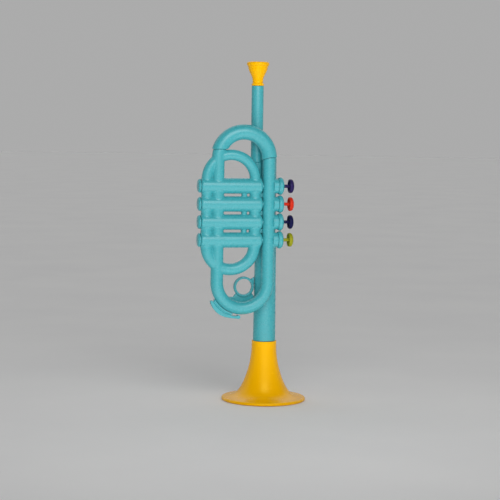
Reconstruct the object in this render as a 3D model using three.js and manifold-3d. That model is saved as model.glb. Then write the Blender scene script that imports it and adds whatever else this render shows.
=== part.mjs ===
// Toy trumpet with four sprung keys, moulded plastic.
// Millimetres, +Z up. The trumpet stands on the rim of its bell:
// x to the right (towards the keys), y to the back, z up.
// Two layers: a front layer (outer loop, inner loop, four lying valve casings)
// whose tubes share the plane y = Y_FRONT, and a rear layer (lead pipe,
// air chest, bell tube, bell) near y = 0.

import * as THREE from 'three';
import { mergeVertices } from 'three/addons/utils/BufferGeometryUtils.js';
import Module from 'manifold-3d';

const wasm = await Module();
wasm.setup();

// ---------------------------------------------------------------- dimensions
const CENTRE_SHIFT = 15.835;     // moves the bell axis so that the whole object is centred on x = 0
const GAP = 0.3;                // clearance between touching pieces
const Y_FRONT = -18.5;          // mid plane of the front layer
const SPLIT = 0.15;             // half of the parting gap of the half shells
const WALL = 1.8;               // moulded wall

const LOOP_X = -27.9;           // centre line of the outer loop
const LOOP_R = 26.0;            // bend radius of the outer loop
const LEG_X = LOOP_X + LOOP_R;  // right leg, -1.9
const LEG_TUBE = 6.3;           // outer radius of the legs and of the bottom bend
const BOTTOM_Z = 122.0;         // centre of the bottom bend
const BOW_Z = 246.0;            // centre of the top bow
const BOW_TUBE = 7.6;           // outer radius of the bow, a size larger than the legs
const SEAM_Z = 247.1;           // where the bow meets the right leg
const LEFT_SEAM_Z = 255.0;      // where it meets the left arm, just above the inner loop

const INNER_X = -40.6;          // centre line of the inner loop
const INNER_R = 24.5;
const INNER_TOP_Z = 224.8;
const INNER_TOP_TUBE = 5.3;
const INNER_LOW_Z = 159.6;
const INNER_LOW_TUBE = 5.9;

const VALVE_Z = [218.4, 200.45, 182.5, 164.55];   // axes of the four casings, top to bottom
const VALVE_TUBE = 7.75;
const VALVE_BORE = 5.9;
const VALVE_RIGHT = -9.3;       // closed end beside the right leg
const VALVE_LEFT = -71.5;       // open end, closed by a bottom cap
const SEAT_X = -10.5;           // face that the valve pad seals on
const NECK_TUBE = 7.5;
const NECK_LEFT = 3.9;
const NECK_RIGHT = 7.4;
const NECK_SEAT = 4.6;          // bottom of the counterbore for the cap sleeve
const CAP_SLEEVE = 5.0, CAP_STOP = 7.3;   // sleeve end, and the face that the stem collar stops on
const FLANGE_R = 8.75;
const FLANGE_LEFT = 7.7;
const FLANGE_RIGHT = 13.1;
const SPACER_X = -27.0;
const SPACER_R = 2.9;

const STEM_R = 1.65;            // visible part of the key stem
const SPINDLE_R = 1.5;          // thinner part inside
const KEY_HEAD_LEFT = 18.8;     // rim of the hollow mushroom head
const KEY_HEAD_RIGHT = 23.6;
const KEY_HEAD_R = 6.9;
const KEY_TRAVEL = 3.5;

const LEAD_X = -11.5, LEAD_Y = -4.3, LEAD_R = 6.0, LEAD_BORE = 4.4;
const LEAD_TOP = 318.0;
const CHEST_LOW = 157.0, CHEST_TOP = 250.0, CHEST_FRONT = -9.3, CHEST_SPLIT = 2.0;
const CHEST_R = 9.9;            // outer radius round the bell axis
const SHOULDER_Z = 226.5;       // above this the chest is two pipes side by side
const SOCKET_TOP = 262.0;       // socket of the lead pipe, its joint is behind the bow
const PAD_TOP = 241.5;
const PARTITION_Z = 229.0;
const BELL_TUBE_LOW_R = 11.35, BELL_TUBE_TOP_R = 10.8;
const COLLAR_Z = 60.5;          // top of the bell
const MOUTH_TOP = 342.0;

const RING_X = -22.2, RING_Z = 115.7, RING_OUT = 10.3, RING_IN = 7.9;

// -------------------------------------------------------------------- helpers
function toSolid(geometry) {
  let g = geometry.clone();
  if (g.index === null) {
    const n = g.attributes.position.count;
    g.setIndex([...Array(n).keys()]);
  }
  for (const name of Object.keys(g.attributes)) if (name !== 'position') g.deleteAttribute(name);
  g.clearGroups();
  g = mergeVertices(g, 1e-4);
  const p = g.attributes.position.array, idx = g.index.array, tri = [];
  let volume = 0;
  for (let i = 0; i < idx.length; i += 3) {
    const [a, b, c] = [idx[i], idx[i + 1], idx[i + 2]];
    if (a === b || b === c || a === c) continue;
    tri.push(a, b, c);
    const A = new THREE.Vector3().fromArray(p, a * 3), B = new THREE.Vector3().fromArray(p, b * 3), C = new THREE.Vector3().fromArray(p, c * 3);
    volume += A.dot(B.cross(C));
  }
  if (volume < 0) for (let i = 0; i < tri.length; i += 3) [tri[i + 1], tri[i + 2]] = [tri[i + 2], tri[i + 1]];
  return new wasm.Manifold(new wasm.Mesh({ numProp: 3, vertProperties: new Float32Array(p), triVerts: new Uint32Array(tri) }));
}

const AXIS = {
  x: new THREE.Matrix4().makeRotationZ(-Math.PI / 2),
  y: new THREE.Matrix4(),
  z: new THREE.Matrix4().makeRotationX(Math.PI / 2),
};

// cylinder from a to b along an axis, the other two coordinates fixed
function rod(axis, r, a, b, c1, c2, sides = 16) {
  const g = new THREE.CylinderGeometry(r, r, b - a, sides, 1);
  g.rotateY(Math.PI / sides);
  g.applyMatrix4(AXIS[axis]);
  const m = (a + b) / 2;
  if (axis === 'x') g.translate(m, c1, c2);
  if (axis === 'y') g.translate(c1, m, c2);
  if (axis === 'z') g.translate(c1, c2, m);
  return toSolid(g);
}

// turned piece: profile of [radius, height] pairs, its height along the axis
function turned(axis, profile, c1, c2, sides = 20) {
  const g = new THREE.LatheGeometry(profile.map(([r, h]) => new THREE.Vector2(r, h)), sides, Math.PI / sides);
  g.applyMatrix4(AXIS[axis]);
  if (axis === 'x') g.translate(0, c1, c2);
  if (axis === 'y') g.translate(c1, 0, c2);
  if (axis === 'z') g.translate(c1, c2, 0);
  return toSolid(g);
}

function box(x0, x1, y0, y1, z0, z1) {
  const g = new THREE.BoxGeometry(x1 - x0, y1 - y0, z1 - z0);
  g.translate((x0 + x1) / 2, (y0 + y1) / 2, (z0 + z1) / 2);
  return toSolid(g);
}

// a path given by its stations, one sweep step to each stretch between two stations
class Stations extends THREE.Curve {
  constructor(points, tangents) { super(); this.points = points; this.tangents = tangents; }
  at(list, t) {
    const s = Math.min(Math.max(t, 0), 1) * (list.length - 1), i = Math.min(Math.floor(s + 1e-9), list.length - 2);
    return list[i].clone().lerp(list[i + 1], s - i);
  }
  getPoint(t) { return this.at(this.points, t); }
  getPointAt(t) { return this.at(this.points, t); }
  getTangent(t) { return this.at(this.tangents, t).normalize(); }
  getTangentAt(t) { return this.at(this.tangents, t).normalize(); }
}

function circle(r, sides, turn = 0) {
  const k = 1 / Math.sqrt(Math.cos(Math.PI / sides));    // keeps the mean radius
  return new THREE.Shape(Array.from({ length: sides }, (_, i) => {
    const a = turn + (i / sides) * 2 * Math.PI;
    return new THREE.Vector2(r * k * Math.cos(a), r * k * Math.sin(a));
  }));
}

function sweep(shape, path) {
  return toSolid(new THREE.ExtrudeGeometry(shape, { steps: path.points.length - 1, bevelEnabled: false, curveSegments: 1, extrudePath: path }));
}

// bend of a tube in the front plane, with two straight legs; up = 1 bends over the top, -1 under
function bendPath(cx, cz, R, up, legEnd, steps, y = Y_FRONT) {
  const P = [], T = [];
  if (legEnd !== null) { P.push(new THREE.Vector3(cx + R, y, legEnd)); T.push(new THREE.Vector3(0, 0, up)); }
  for (let i = 0; i <= steps; i++) {
    const a = (i / steps) * Math.PI;
    P.push(new THREE.Vector3(cx + R * Math.cos(a), y, cz + up * R * Math.sin(a)));
    T.push(new THREE.Vector3(-Math.sin(a), 0, up * Math.cos(a)));
  }
  if (legEnd !== null) { P.push(new THREE.Vector3(cx - R, y, legEnd)); T.push(new THREE.Vector3(0, 0, -up)); }
  return new Stations(P, T);
}

function extruded(points, y0, y1) {            // outline in x, z, thick along y
  const g = new THREE.ExtrudeGeometry(new THREE.Shape(points.map(([x, z]) => new THREE.Vector2(x, z))), { depth: y1 - y0, bevelEnabled: false });
  g.rotateX(Math.PI / 2);                      // shape y -> z, depth -> -y
  g.translate(0, y1, 0);
  return toSolid(g);
}

function prism(points, z0, z1) {               // outline in x, y, tall along z
  const g = new THREE.ExtrudeGeometry(new THREE.Shape(points.map(([x, y]) => new THREE.Vector2(x, y))), { depth: z1 - z0, bevelEnabled: false });
  g.translate(0, 0, z0);
  return toSolid(g);
}

const join = (...parts) => parts.reduce((a, b) => a.add(b));
const cut = (body, ...tools) => tools.reduce((a, b) => a.subtract(b), body);

const trumpet = new THREE.Group();
trumpet.position.x = CENTRE_SHIFT;

const PAINT = {
  teal: { color: 0x45a9b4, roughness: 0.42, metalness: 0 },
  yellow: { color: 0xf2b30c, roughness: 0.42, metalness: 0 },
  purple: { color: 0x2f1a6e, roughness: 0.4, metalness: 0 },
  red: { color: 0xe23410, roughness: 0.4, metalness: 0 },
  blue: { color: 0x171a5c, roughness: 0.4, metalness: 0 },
  olive: { color: 0xb0ad22, roughness: 0.4, metalness: 0 },
  rubber: { color: 0x26262a, roughness: 0.85, metalness: 0 },
  brass: { color: 0xb98d3a, roughness: 0.35, metalness: 1 },
  steel: { color: 0xb4b6ba, roughness: 0.35, metalness: 1 },
};

function piece(name, solid, paint) {
  const m = solid.getMesh();
  const g = new THREE.BufferGeometry();
  const n = m.vertProperties.length / m.numProp, pos = new Float32Array(n * 3);
  for (let i = 0; i < n; i++) for (let k = 0; k < 3; k++) pos[i * 3 + k] = m.vertProperties[i * m.numProp + k];
  g.setAttribute('position', new THREE.BufferAttribute(pos, 3));
  g.setIndex(new THREE.BufferAttribute(new Uint32Array(m.triVerts), 1));
  g.computeVertexNormals();
  const mesh = new THREE.Mesh(g, new THREE.MeshStandardMaterial(PAINT[paint]));
  mesh.name = name;
  trumpet.add(mesh);
  return solid;
}

// -------------------------------------------------------------- front layer
const FRONT_HALF = box(-120, 60, -60, Y_FRONT - SPLIT, 40, 330);
const REAR_HALF = box(-120, 60, Y_FRONT + SPLIT, 60, 40, 330);

// outer loop: legs and bottom bend, hollow; the left arm goes on up the bow's own arc
const outerPath = (end) => bendPath(LOOP_X, BOTTOM_Z, LOOP_R, -1, end, 10);
const armPath = (from, to, steps) => new Stations(
  Array.from({ length: steps + 1 }, (_, i) => { const a = (from + (to - from) * i / steps) * Math.PI / 180; return new THREE.Vector3(LOOP_X + LOOP_R * Math.cos(a), Y_FRONT, BOW_Z + LOOP_R * Math.sin(a)); }),
  Array.from({ length: steps + 1 }, (_, i) => { const a = (from + (to - from) * i / steps) * Math.PI / 180; return new THREE.Vector3(Math.sin(a), 0, -Math.cos(a)); }));
const LEFT_OFF = box(-120, LOOP_X, -60, 60, LEFT_SEAM_Z - GAP, 300);
// the bow ends on the right leg in a curved edge, lower on the inner side
const seamLine = (drop) => [[-11, SEAM_Z - 2.9], [-8.4, SEAM_Z - 2.2], [-6.2, SEAM_Z - 1.3], [-3.6, SEAM_Z - 0.5], [-0.6, SEAM_Z], [8, SEAM_Z]].map(([x, z]) => [x, z - drop]);
let body = join(sweep(circle(LEG_TUBE, 12), outerPath(BOW_Z)),
  rod('z', LEG_TUBE, BOW_Z - 2, SEAM_Z - GAP, LEG_X, Y_FRONT, 12),
  sweep(circle(LEG_TUBE, 12), armPath(182, 146, 3)).subtract(LEFT_OFF));
body = body.subtract(extruded([...seamLine(GAP), [8, 260], [-11, 260]], -40, 0));
// inner loop, its upper and lower bends reach into the first and last casing
body = join(body,
  sweep(circle(INNER_TOP_TUBE, 8, Math.PI / 8), bendPath(INNER_X, INNER_TOP_Z, INNER_R, 1, VALVE_Z[0] - 2, 9)),
  sweep(circle(INNER_LOW_TUBE, 8, Math.PI / 8), bendPath(INNER_X, INNER_LOW_Z, INNER_R, -1, VALVE_Z[3] + 2, 9)));
for (const s of [-1, 1]) body = body.add(rod('z', 5.5, VALVE_Z[3], VALVE_Z[0], INNER_X + s * INNER_R, Y_FRONT, 8));
body = cut(body,
  sweep(circle(LEG_TUBE - WALL, 8), outerPath(BOW_Z)), rod('z', LEG_TUBE - WALL, BOW_Z - 1, SEAM_Z + 5, LEG_X, Y_FRONT, 8),
  sweep(circle(LEG_TUBE - WALL, 8), armPath(181, 140, 3)),
  sweep(circle(INNER_TOP_TUBE - WALL, 6), bendPath(INNER_X, INNER_TOP_Z, INNER_R, 1, VALVE_Z[0] - 3, 9)),
  sweep(circle(INNER_LOW_TUBE - WALL, 6), bendPath(INNER_X, INNER_LOW_Z, INNER_R, -1, VALVE_Z[3] + 3, 9)));

// spigots at the top of both arms, inside the bow
body = body.add(cut(rod('z', 5.1, SEAM_Z - 3, SEAM_Z + 3.6, LEG_X, Y_FRONT, 10), rod('z', 3.7, SEAM_Z - 4, SEAM_Z + 4, LEG_X, Y_FRONT, 8)));
body = body.add(cut(sweep(circle(5.1, 10), armPath(166, 151, 2)), sweep(circle(3.7, 8), armPath(170, 148, 2))));
body = cut(body, rod('z', 3.7, SEAM_Z - 4, SEAM_Z + 4, LEG_X, Y_FRONT, 8), sweep(circle(3.7, 8), armPath(170, 148, 2)));

// four casings with rounded right ends, joined to the right leg by a short core
for (const z of VALVE_Z) {
  body = body.add(turned('x', [[0, VALVE_LEFT], [VALVE_TUBE, VALVE_LEFT], [VALVE_TUBE, VALVE_RIGHT - 2.2], [6.9, VALVE_RIGHT - 0.7], [5.0, VALVE_RIGHT], [0, VALVE_RIGHT]], Y_FRONT, z, 12));
}
// the small posts between casings
for (let i = 0; i < 3; i++) body = body.add(rod('z', SPACER_R, VALVE_Z[i + 1] + 6, VALVE_Z[i] - 6, SPACER_X, Y_FRONT, 8));
// flat pad behind the casings, where the air chest is clamped
body = body.add(box(-16.0, 4.2, Y_FRONT + 5.0, Y_FRONT + 7.7, 158.8, SHOULDER_Z - 0.5));
body = body.add(box(-5.9, 2.1, Y_FRONT + 5.0, Y_FRONT + 7.7, SHOULDER_Z - 2, PAD_TOP));
// necks to the right of the leg
for (const z of VALVE_Z) {
  body = body.add(turned('x', [[0, NECK_LEFT - 1.5], [5.2, NECK_LEFT - 1.5], [NECK_TUBE, NECK_LEFT + 0.4], [NECK_TUBE, NECK_RIGHT], [0, NECK_RIGHT]], Y_FRONT, z, 12));
  body = body.add(rod('x', 3.0, VALVE_RIGHT - 1, LEG_X - 3.2, Y_FRONT, z, 10));
}
// leg bore again through pad and necks, then the bores of casings and stems
body = body.subtract(rod('z', LEG_TUBE - WALL, BOTTOM_Z + 2, SEAM_Z - 5, LEG_X, Y_FRONT, 8));
for (const z of VALVE_Z) {
  body = cut(body,
    rod('x', VALVE_BORE, VALVE_LEFT - 1, SEAT_X, Y_FRONT, z, 10),
    rod('x', 2.2, SEAT_X - 1, LEG_X, Y_FRONT, z, 10),
    rod('x', 4.0, LEG_X, NECK_RIGHT + 1, Y_FRONT, z, 8),
    rod('x', 5.7, NECK_SEAT, NECK_RIGHT + 1, Y_FRONT, z, 10),
    box(-13.9, -10.9, -16, -9, z - 4.2, z + 4.2));        // air port to the reeds
}
body = body.subtract(rod('y', 2.5, -15.5, -9, LEG_X, 235.5, 8));   // air from the chest into the leg

// screw posts of the shells: [x, z, where the head sits on the rear]
const SHELL_SCREWS = [[-60, VALVE_Z[0]], [-60, VALVE_Z[3]], [-36, VALVE_Z[1]], [-36, VALVE_Z[2]], [LOOP_X, BOTTOM_Z - LOOP_R]];
for (const [x, z] of SHELL_SCREWS) {
  const back = z < 120 ? Y_FRONT + LEG_TUBE : Y_FRONT + VALVE_TUBE;
  body = body.add(rod('y', 3.0, Y_FRONT - 5.4, back - 0.8, x, z, 8));
}
// chest screws end in posts between the casings
const CHEST_SCREW_X = -9.5;
const CHEST_SCREW_Z = [209.42, 191.48, 173.52];
for (const z of CHEST_SCREW_Z) body = body.add(rod('y', 2.3, Y_FRONT + 0.3, Y_FRONT + 6, CHEST_SCREW_X, z, 8));

let bodyFront = body.intersect(FRONT_HALF), bodyRear = body.intersect(REAR_HALF);
for (const [x, z] of SHELL_SCREWS) {
  const back = z < 120 ? Y_FRONT + LEG_TUBE : Y_FRONT + VALVE_TUBE;
  bodyFront = bodyFront.subtract(rod('y', 1.6, Y_FRONT - 4.6, Y_FRONT + 1, x, z, 6));
  bodyRear = cut(bodyRear, rod('y', 1.7, Y_FRONT - 1, back + 2, x, z, 6), rod('y', 2.75, back - 2.4, back + 3, x, z, 10));
}
for (const z of CHEST_SCREW_Z) bodyRear = bodyRear.subtract(rod('y', 1.7, Y_FRONT + 0.8, Y_FRONT + 9, CHEST_SCREW_X, z, 6));
piece('body_front_shell', bodyFront, 'teal');
piece('body_rear_shell', bodyRear, 'teal');

// top bow, one tube size larger, in two halves
let bow = sweep(circle(BOW_TUBE, 14), bendPath(LOOP_X, BOW_Z, LOOP_R, 1, null, 12));
bow = cut(bow, sweep(circle(BOW_TUBE - WALL, 10), bendPath(LOOP_X, BOW_Z, LOOP_R, 1, BOW_Z - 3, 12)),
  extruded([...seamLine(0), [8, 230], [-11, 230]], -40, 0), box(-120, LOOP_X, -60, 20, 230, LEFT_SEAM_Z));
bow = bow.add(rod('y', 3.0, Y_FRONT - 7.0, Y_FRONT + 6.8, LOOP_X, BOW_Z + LOOP_R, 8));
let bowFront = bow.intersect(FRONT_HALF), bowRear = bow.intersect(REAR_HALF);
bowFront = bowFront.subtract(rod('y', 1.6, Y_FRONT - 4.6, Y_FRONT + 1, LOOP_X, BOW_Z + LOOP_R, 6));
bowRear = cut(bowRear, rod('y', 1.7, Y_FRONT - 1, Y_FRONT + 12, LOOP_X, BOW_Z + LOOP_R, 6),
  rod('y', 2.75, Y_FRONT + BOW_TUBE - 2.4, Y_FRONT + 12, LOOP_X, BOW_Z + LOOP_R, 10));
piece('bow_front_shell', bowFront, 'teal');
piece('bow_rear_shell', bowRear, 'teal');

// ------------------------------------------------------------- valve pieces
const KEY_PAINT = ['purple', 'red', 'blue', 'olive'];

function springSolid(x0, x1, y, z, meanR, wire, turns, perTurn = 8) {
  const P = [], T = [], n = turns * perTurn;
  for (let i = 0; i <= n; i++) {
    const a = (i / perTurn) * 2 * Math.PI, x = x0 + wire + ((x1 - x0 - 2 * wire) * i) / n;
    P.push(new THREE.Vector3(x, y + meanR * Math.cos(a), z + meanR * Math.sin(a)));
    T.push(new THREE.Vector3((x1 - x0 - 2 * wire) / n / (2 * Math.PI / perTurn), -meanR * Math.sin(a), meanR * Math.cos(a)).normalize());
  }
  return sweep(circle(wire, 4), new Stations(P, T));
}

VALVE_Z.forEach((z, i) => {
  const n = i + 1;
  // top cap: sleeve inside the neck, domed flange outside, guides the stem
  piece(`valve_top_cap_${n}`, cut(
    turned('x', [[0, CAP_SLEEVE], [5.25, CAP_SLEEVE], [5.25, FLANGE_LEFT], [7.9, FLANGE_LEFT], [FLANGE_R, FLANGE_LEFT + 1.5], [FLANGE_R, FLANGE_LEFT + 3.0], [FLANGE_R - 1.5, FLANGE_RIGHT - 0.8], [0, FLANGE_RIGHT]], Y_FRONT, z, 14),
    rod('x', STEM_R + 0.35, CAP_SLEEVE - 1, FLANGE_RIGHT + 1, Y_FRONT, z, 10),
    rod('x', 3.9, CAP_SLEEVE - 1, CAP_STOP, Y_FRONT, z, 10)), 'teal');

  // bottom cap: plug in the open end of the casing
  piece(`valve_bottom_cap_${n}`, turned('x', [[0, -74.4], [5.4, -73.8], [6.9, -72.6], [6.9, VALVE_LEFT - GAP], [5.4, VALVE_LEFT - GAP], [5.4, -66.5], [0, -66.5]], Y_FRONT, z, 14), 'teal');

  // key: stem and hollow mushroom head in one moulding
  piece(`key_${n}`, turned('x', [[0, -17.5], [SPINDLE_R, -17.5], [SPINDLE_R, CAP_STOP], [STEM_R, CAP_STOP], [STEM_R, KEY_HEAD_LEFT + 1.3],
    [5.3, KEY_HEAD_LEFT + 1.2], [6.1, KEY_HEAD_LEFT], [6.5, KEY_HEAD_LEFT], [KEY_HEAD_R, KEY_HEAD_LEFT + 0.7], [KEY_HEAD_R, KEY_HEAD_RIGHT - 2.6],
    [KEY_HEAD_R - 0.7, KEY_HEAD_RIGHT - 1.3], [3.6, KEY_HEAD_RIGHT - 0.3], [0, KEY_HEAD_RIGHT]], Y_FRONT, z, 14), KEY_PAINT[i]);

  // collar pushed on the spindle: the spring bears on it and it stops under the cap
  piece(`stem_collar_${n}`, cut(rod('x', 3.4, 5.4, 6.95, Y_FRONT, z, 12), rod('x', SPINDLE_R + 0.35, 4, 8, Y_FRONT, z, 8)), 'steel');

  piece(`return_spring_${n}`, springSolid(-4.7, 5.1, Y_FRONT, z, 2.45, 0.3, 4), 'steel');

  // rubber pad and its push-on retainer, inside the casing
  piece(`valve_pad_${n}`, cut(rod('x', 5.0, -13.0, SEAT_X - GAP, Y_FRONT, z, 12), rod('x', SPINDLE_R + 0.35, -14, -10, Y_FRONT, z, 8)), 'rubber');
  piece(`pad_retainer_${n}`, cut(rod('x', 3.9, -15.2, -13.3, Y_FRONT, z, 12), rod('x', SPINDLE_R + 0.35, -17, -12, Y_FRONT, z, 8)), 'steel');
});

// --------------------------------------------------------------- rear layer
function hull2(points) {
  const p = points.slice().sort((a, b) => a[0] - b[0] || a[1] - b[1]);
  const side = (list) => { const h = []; for (const q of list) { while (h.length > 1 && (h[h.length - 1][0] - h[h.length - 2][0]) * (q[1] - h[h.length - 2][1]) - (h[h.length - 1][1] - h[h.length - 2][1]) * (q[0] - h[h.length - 2][0]) <= 0) h.pop(); h.push(q); } h.pop(); return h; };
  return side(p).concat(side(p.reverse()));
}
const ringPoints = (cx, cy, r, n) => Array.from({ length: n }, (_, i) => [cx + r * Math.cos((i + 0.5) / n * 2 * Math.PI), cy + r * Math.sin((i + 0.5) / n * 2 * Math.PI)]);
const chestOutline = (inset) => hull2([...ringPoints(LEAD_X, LEAD_Y, LEAD_R + 0.1 - inset, 16), ...ringPoints(0, 0, CHEST_R - inset, 20)]);
const FRONT_CUT = box(-40, 40, -40, CHEST_FRONT, 100, PAD_TOP + 0.2);
const twoPipes = (inset, z0, zBell, zLead) => join(prism(ringPoints(0, 0, CHEST_R - inset, 20), z0, zBell), prism(ringPoints(LEAD_X, LEAD_Y, LEAD_R - inset, 16), z0, zLead));
const chestSolid = cut(join(prism(chestOutline(0), CHEST_LOW, SHOULDER_Z), twoPipes(0, SHOULDER_Z - 1, CHEST_TOP, SOCKET_TOP)), FRONT_CUT);
const lowRoom = cut(join(prism(chestOutline(WALL), CHEST_LOW + 2, SHOULDER_Z - WALL), twoPipes(WALL, SHOULDER_Z - 4, PARTITION_Z - 0.8, PARTITION_Z - 0.8)),
  box(-40, 40, -40, CHEST_FRONT + WALL, 100, 300));
const highRoom = join(cut(twoPipes(WALL, PARTITION_Z + 0.8, CHEST_TOP - 2, CHEST_TOP + 4), box(-40, 40, -40, CHEST_FRONT + WALL, 100, 300)),
  prism(hull2([...ringPoints(LEAD_X, LEAD_Y, 2.8, 12), ...ringPoints(0, 0, 2.8, 12)]), PARTITION_Z + 2, PARTITION_Z + 14));

let chest = join(chestSolid, box(-5.1, 1.3, CHEST_FRONT, -6.0, SHOULDER_Z - 1, PAD_TOP - 0.3));   // flat boss for the air port
chest = cut(chest, lowRoom, highRoom);
for (const z of CHEST_SCREW_Z) chest = chest.add(rod('y', 3.2, CHEST_FRONT + 0.5, 6.8, CHEST_SCREW_X, z, 10));
chest = cut(chest,
  rod('z', 5.15, SOCKET_TOP - 6, SOCKET_TOP + 2, LEAD_X, LEAD_Y, 12),
  rod('z', LEAD_BORE, PARTITION_Z + 0.8, SOCKET_TOP, LEAD_X, LEAD_Y, 12),
  rod('z', 8.75, CHEST_LOW - 2, CHEST_LOW + 6, 0, 0, 16),
  rod('y', 2.5, CHEST_FRONT - 1, CHEST_FRONT + 3, LEG_X, 235.5, 8));
for (const z of VALVE_Z) chest = chest.subtract(box(-13.9, -10.9, CHEST_FRONT - 1, CHEST_FRONT + 3, z - 4.2, z + 4.2));
for (const z of CHEST_SCREW_Z) chest = cut(chest, rod('y', 1.8, CHEST_FRONT - 1, 12, CHEST_SCREW_X, z, 6), rod('y', 2.9, 4.8, 12, CHEST_SCREW_X, z, 10));
piece('air_chest', chest.intersect(box(-40, 40, -40, CHEST_SPLIT - SPLIT, 100, 300))
  .subtract(box(-15.5, -5.0, CHEST_FRONT + WALL - 0.05, CHEST_FRONT + WALL + 1.4, 160.1, 222.9)), 'teal');
piece('air_chest_cover', chest.intersect(box(-40, 40, CHEST_SPLIT + SPLIT, 40, 100, 300)), 'teal');

// gasket between the casings' pad and the chest
let gasket = join(box(-15.6, 3.6, -10.5, -9.6, 159.4, SHOULDER_Z - 1), box(-5.1, 1.3, -10.5, -9.6, SHOULDER_Z - 2, PAD_TOP - 0.6));
gasket = gasket.subtract(rod('y', 2.7, -12, -8, LEG_X, 235.5, 8));
for (const z of VALVE_Z) gasket = gasket.subtract(box(-13.7, -11.1, -12, -8, z - 4.4, z + 4.4));
for (const z of CHEST_SCREW_Z) gasket = gasket.subtract(rod('y', 1.9, -12, -8, CHEST_SCREW_X, z, 6));
piece('chest_gasket', gasket, 'rubber');

// brass reed plate with four slots and four tongues of falling length
const REED_Y = CHEST_FRONT + WALL + 0.3;
let plate = box(-14.4, -5.3, REED_Y, REED_Y + 0.8, 160.6, 222.4);
for (const z of CHEST_SCREW_Z) plate = plate.subtract(rod('y', 3.6, REED_Y - 1, REED_Y + 2, CHEST_SCREW_X, z, 10));
const reedZ = VALVE_Z.map((z, i) => [z, 7.6 - i * 0.6]);   // the lowest key has the shortest tongue
for (const [z, l] of reedZ) plate = plate.subtract(box(-13.2, -11.4, REED_Y - 1, REED_Y + 2, z - l / 2 + 0.2, z + l / 2 - 0.6));
piece('reed_plate', plate, 'brass');
reedZ.forEach(([z, l], i) => piece(`reed_${i + 1}`, join(
  box(-12.95, -11.65, REED_Y + 1.1, REED_Y + 1.4, z - l / 2 + 0.5, z + l / 2 + 0.4),
  box(-13.4, -11.2, REED_Y + 1.1, REED_Y + 1.6, z + l / 2 - 0.7, z + l / 2 + 0.8)), 'brass'));

// lead pipe with a spigot in the top of the chest
piece('lead_pipe', cut(join(rod('z', LEAD_R, SOCKET_TOP + GAP, LEAD_TOP, LEAD_X, LEAD_Y, 18), rod('z', 4.8, SOCKET_TOP - 5.6, SOCKET_TOP + 2, LEAD_X, LEAD_Y, 16)),
  rod('z', 3.6, SOCKET_TOP - 8, SOCKET_TOP + 6, LEAD_X, LEAD_Y, 14), rod('z', LEAD_BORE, SOCKET_TOP + 5, LEAD_TOP + 1, LEAD_X, LEAD_Y, 14)), 'teal');

// mouthpiece: cup, throat and shank, a push fit in the lead pipe
piece('mouthpiece', cut(
  turned('z', [[0, 306], [4.0, 306], [4.1, LEAD_TOP + GAP], [6.3, LEAD_TOP + GAP], [6.3, 320.4], [5.3, 321.4], [5.5, 325.5], [9.6, 334], [10.1, 337.2], [11.3, 338.8], [11.3, 340.6], [9.8, MOUTH_TOP], [0, MOUTH_TOP]], LEAD_X, LEAD_Y, 18),
  turned('z', [[0, 300], [2.7, 300], [2.7, 326], [6.4, 332], [8.2, 337.5], [9.0, 343], [0, 343]], LEAD_X, LEAD_Y, 14)), 'yellow');

// bell tube, slightly conical, spigots at both ends
piece('bell_tube', cut(
  turned('z', [[0, 47], [10.15, 47], [10.15, COLLAR_Z + GAP], [BELL_TUBE_LOW_R, COLLAR_Z + GAP], [BELL_TUBE_TOP_R, CHEST_LOW - GAP], [8.4, CHEST_LOW - GAP], [8.4, CHEST_LOW + 4.5], [0, CHEST_LOW + 4.5]], 0, 0, 20),
  turned('z', [[0, 40], [8.9, 40], [8.9, 70], [7.0, 150], [7.0, 170], [0, 170]], 0, 0, 16)), 'teal');

// bell: collar, flare and rolled rim
const FLARE = [[12.6, 60.5], [12.7, 51], [13.7, 41.5], [15.6, 32.5], [19.0, 21.7], [23.2, 12.9], [27.6, 7.6], [33.5, 4.8], [41.0, 3.0], [43.0, 1.6], [43.0, 0]];
const BORE = [[38.5, 0], [32.5, 2.6], [26.2, 5.9], [21.6, 11.6], [17.3, 20.8], [13.9, 31.8], [11.9, 41.2], [10.5, 46.2], [10.5, 60.5]];
piece('bell', turned('z', [...FLARE, ...BORE, FLARE[0]], 0, 0, 28), 'yellow');

// finger ring with its web, between the bell tube and the bottom bend
const arcPoints = (cx, cz, r, a0, a1, n) => Array.from({ length: n + 1 }, (_, i) => { const a = (a0 + (a1 - a0) * i / n) * Math.PI / 180; return [cx + r * Math.cos(a), cz + r * Math.sin(a)]; });
let ring = rod('y', RING_OUT, -2.6, 2.6, RING_X, RING_Z, 24);
ring = ring.add(extruded([[-38.0, 105.4], [-33.0, 105.6], [-28.0, 112], [-16, 112], [-11.6, 106.0], [-11.6, 98.6], [-18.0, 96.2], [-26.0, 95.6], [-33.0, 98.6]], -1.5, 1.5));
ring = ring.add(extruded([[-16.6, 121.6], [-13.4, 124.6], [-11.4, 125.6], [-11.4, 118.2], [-12.3, 117.6]], -1.5, 1.5));
for (const [x, z] of [[-20.0, 97.9], [-31.5, 99.6]]) ring = ring.add(rod('y', 1.9, -12.0 + GAP, 1.5, x, z - 1.2, 10));
ring = cut(ring, rod('y', RING_IN, -8, 8, RING_X, RING_Z, 24), rod('z', BELL_TUBE_LOW_R + 0.25, 80, 140, 0, 0, 20));
piece('finger_ring', ring.subtract(sweep(circle(LEG_TUBE + 0.35, 12), outerPath(160))), 'teal');

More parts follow.
